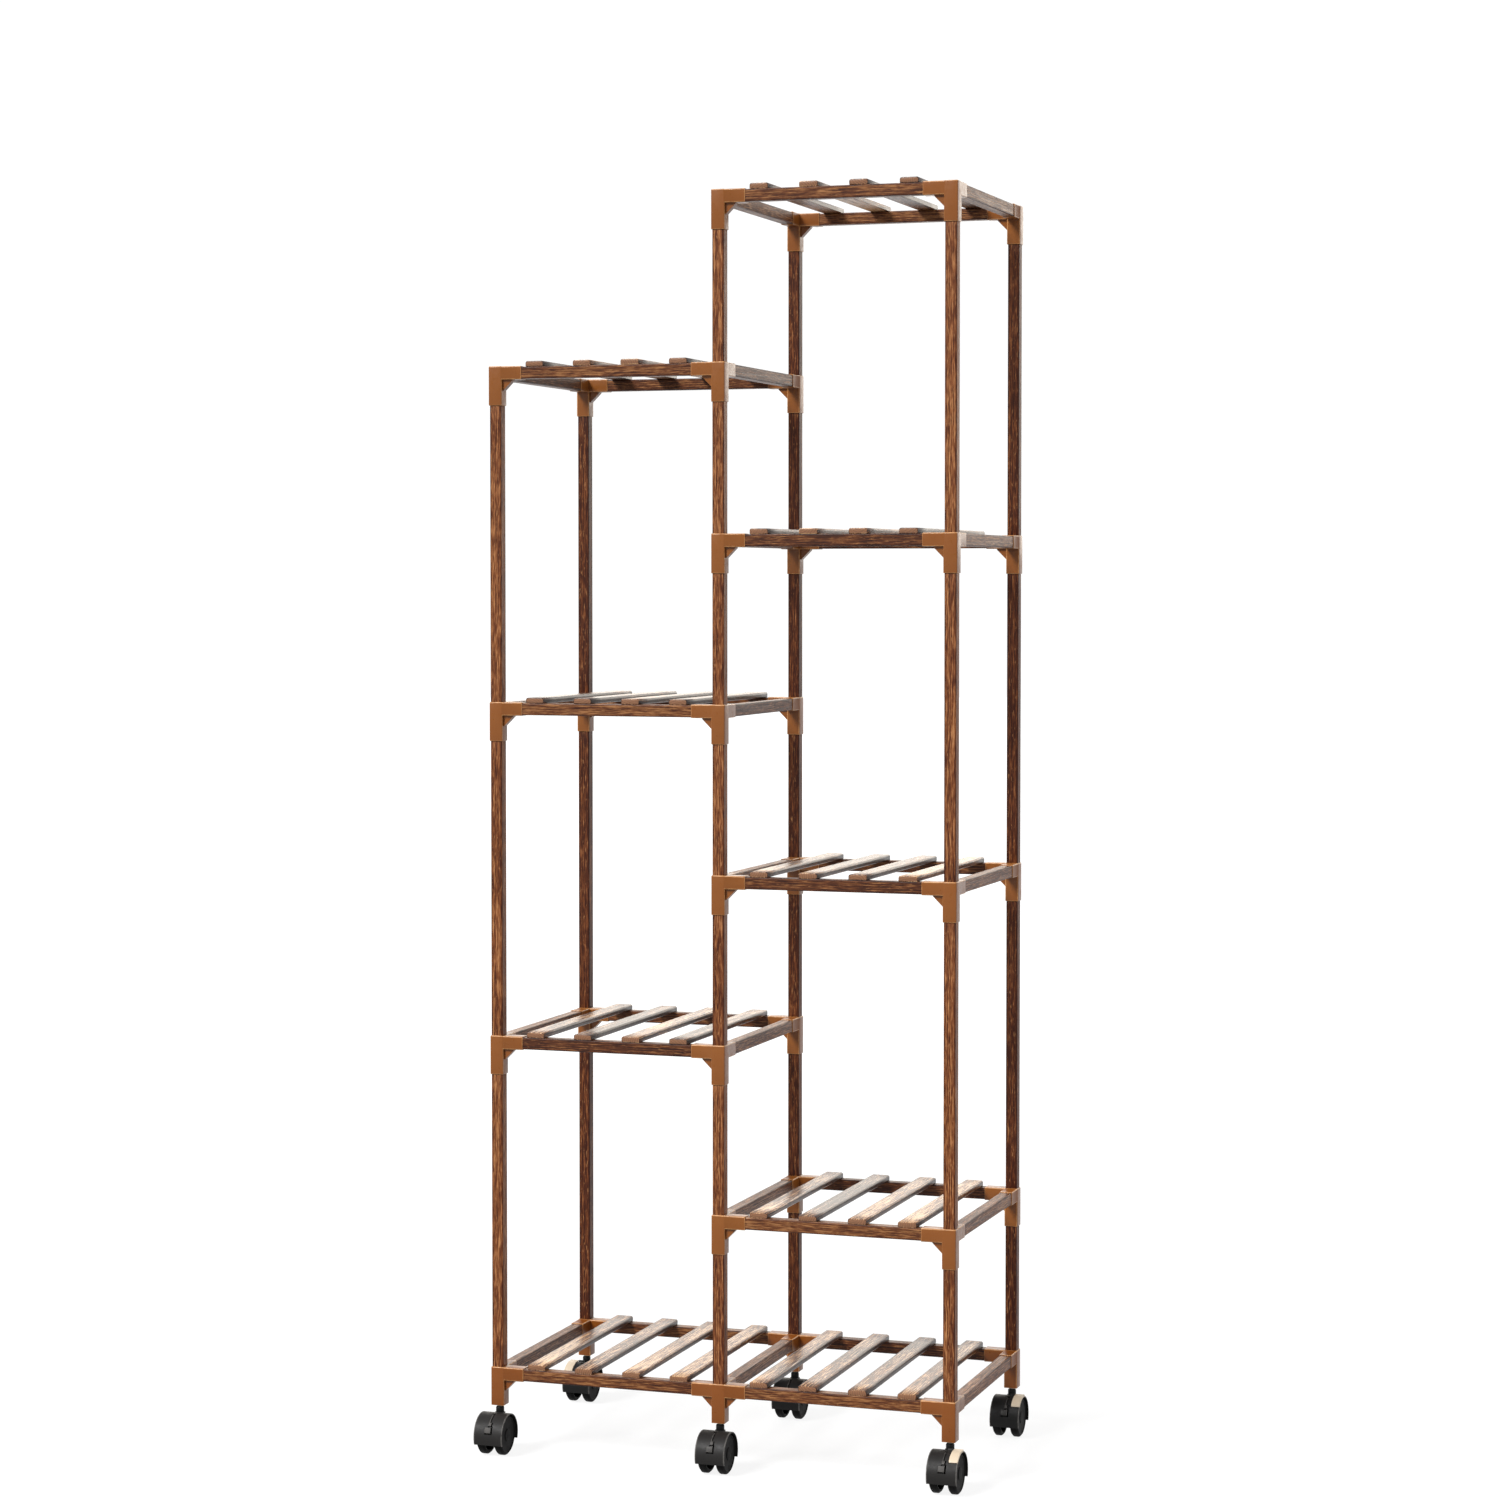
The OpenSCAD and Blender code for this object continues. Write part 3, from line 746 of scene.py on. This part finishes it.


# How far the stem's collar and the back casters are darkened from the hood's own colour. The back casters'
# darkening is painted shade.
COLLAR_SHADE, BACK_CASTER_PAINTED_SHADE = 1.2, 0.75
hoods = {side: hood(side) for side in (-1, 0, 1)}
wheels = {side: wheel(side) for side in (-1, 1)}
levers = {side: brake_lever(side) for side in (-1, 1)}
stems = bmesh.new()
for place in PLACES:
    x, y = POST[place]
    axle = at(x, y - TRAIL, WHEEL_R)
    side = BRAKES.get(place, 0)
    made = moved(hoods[side].copy(), axle)
    tone = made.verts.layers.float.new("tone")
    for v in made.verts:
        collar = math.hypot(v.co.x - x, v.co.y - y) < COLLAR_R + 0.1 and v.co.z > 2 * WHEEL_R
        v[tone] = COLLAR_SHADE if collar else BACK_CASTER_PAINTED_SHADE if place.startswith("back") else 0.0
    riding(finish_mesh(f"caster_{place}_hood", made, HOOD, 30), place + "_swivel", "hood_plastic",
           place + "_hood")
    for name, way in (("left_wheel", -1), ("right_wheel", 1)):
        made = moved(wheels[way].copy(), axle @ Matrix.Rotation(rng.uniform(0, 6.28), 4, "X"))
        riding(finish_mesh(f"caster_{place}_{name}", made, WHEEL, 30), f"{place}_{name}", "wheel_nylon",
               f"{place}_{name}")
    if side:
        made = moved(levers[side].copy(), axle)
        riding(finish_mesh(f"caster_{place}_brake_lever", made, LEVER, 35), place + "_brake_lever",
               "lever_plastic", place + "_brake_lever")
    foot = stem()
    appended(stems, foot, at(x, y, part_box("caster_stems")[0].z / MM))
    foot.free()
for shape in (*hoods.values(), *wheels.values(), *levers.values()):
    shape.free()
riding(finish_mesh("steel_caster_stems", stems, STEM_STEEL), "frame", "stem_steel", "caster_stems")

# The CAD nodes that show as they are: plugs, nails, axles and lever pins
for name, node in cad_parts.items():
    if node.hide_render:
        continue
    node.data.materials.clear()
    node.data.materials.append(PLUG if name == "caster_plugs" else FASTENER_STEEL)
    node.data.shade_smooth()
    node.data.set_sharp_from_angle(angle=math.radians(35))


# ---------------------------------------------------------------- floor, light and camera

def staged(name, bm, material):
    """A backdrop piece that the camera and reflections see, and that lights nothing."""
    mesh = bpy.data.meshes.new(name)
    bm.to_mesh(mesh)
    bm.free()
    mesh.materials.append(material)
    ob = bpy.data.objects.new(name, mesh)
    bpy.context.scene.collection.objects.link(ob)
    ob.visible_diffuse = False
    return ob


# A pale floor, lit from below as a light table is, that meets a white surround. In metres.
FLOOR_R, DOME_R = 29.0, 30.0
pale = Shader("pale_floor")
spot = pale.node("ShaderNodeTexCoord").outputs["Object"]
reach = pale.node("ShaderNodeVectorMath", {0: spot}, operation="LENGTH").outputs["Value"]
cloud = pale.noise(spot, scale=1.5, detail=4.0)
pale.surface(Base_Color=pale.mix(cloud, (0.15, 0.15, 0.15), (0.13, 0.13, 0.13)), Roughness=0.9,
             Specular_IOR_Level=0.1, Emission_Color=(1.0, 1.0, 1.0, 1.0),
             Emission_Strength=pale.range(reach, 0.5, 4.0, 0.86, 1.0))
disc = bmesh.new()
bmesh.ops.create_circle(disc, cap_ends=True, segments=64, radius=FLOOR_R)
staged("floor", disc, pale.mat)

surround = Shader("white_surround")
surround.surface(Base_Color=(0.0, 0.0, 0.0, 1.0), Roughness=1.0, Specular_IOR_Level=0.0,
                 Emission_Color=(1.0, 1.0, 1.0, 1.0), Emission_Strength=1.05)
dome = bmesh.new()
bmesh.ops.create_icosphere(dome, subdivisions=4, radius=DOME_R)
staged("surround", dome, surround.mat).visible_shadow = False

world = bpy.data.worlds.new("studio")
bpy.context.scene.world = world
world.use_nodes = True
world.node_tree.nodes["Background"].inputs[0].default_value = (1.0, 1.0, 1.0, 1.0)
world.node_tree.nodes["Background"].inputs[1].default_value = 0.3


def soft_light(name, azimuth, elevation, strength, spread):
    """A broad lamp far off, at azimuth from -Y towards +X. All angles are in degrees."""
    data = bpy.data.lights.new(name, "SUN")
    data.energy = strength
    data.angle = math.radians(spread)
    ob = bpy.data.objects.new(name, data)
    bpy.context.scene.collection.objects.link(ob)
    ob.rotation_euler = (math.radians(90 - elevation), 0, math.radians(azimuth))


soft_light("key", -32, 40, 4.4, 20)
soft_light("fill", 75, 30, 1.0, 30)

# A lit panel high behind the stand, which only reflections show
panel = bpy.data.lights.new("rear_panel", "AREA")
panel.shape, panel.size, panel.size_y, panel.energy = "RECTANGLE", 9.0, 2.2, 150
panel.color = (1.0, 0.91, 0.78)
rear = bpy.data.objects.new("rear_panel", panel)
bpy.context.scene.collection.objects.link(rear)
rear.location = (-1.0, 6.5, 2.3)
rear.rotation_euler = (math.radians(90), 0, math.radians(180))
rear.visible_camera = rear.visible_diffuse = False

CAMERA_DOWN, CAMERA_TURN = 2.016, 18.775
camera = bpy.data.objects.new("camera", bpy.data.cameras.new("camera"))
bpy.context.scene.collection.objects.link(camera)
camera.location = (1.4044, -4.1518, 1.0981)
camera.rotation_euler = (math.radians(90 - CAMERA_DOWN), 0, math.radians(CAMERA_TURN))
camera.data.sensor_width = 36
camera.data.lens = 83.133
camera.data.shift_y = -0.03
bpy.context.scene.camera = camera
bpy.context.scene.view_settings.view_transform = "Standard"
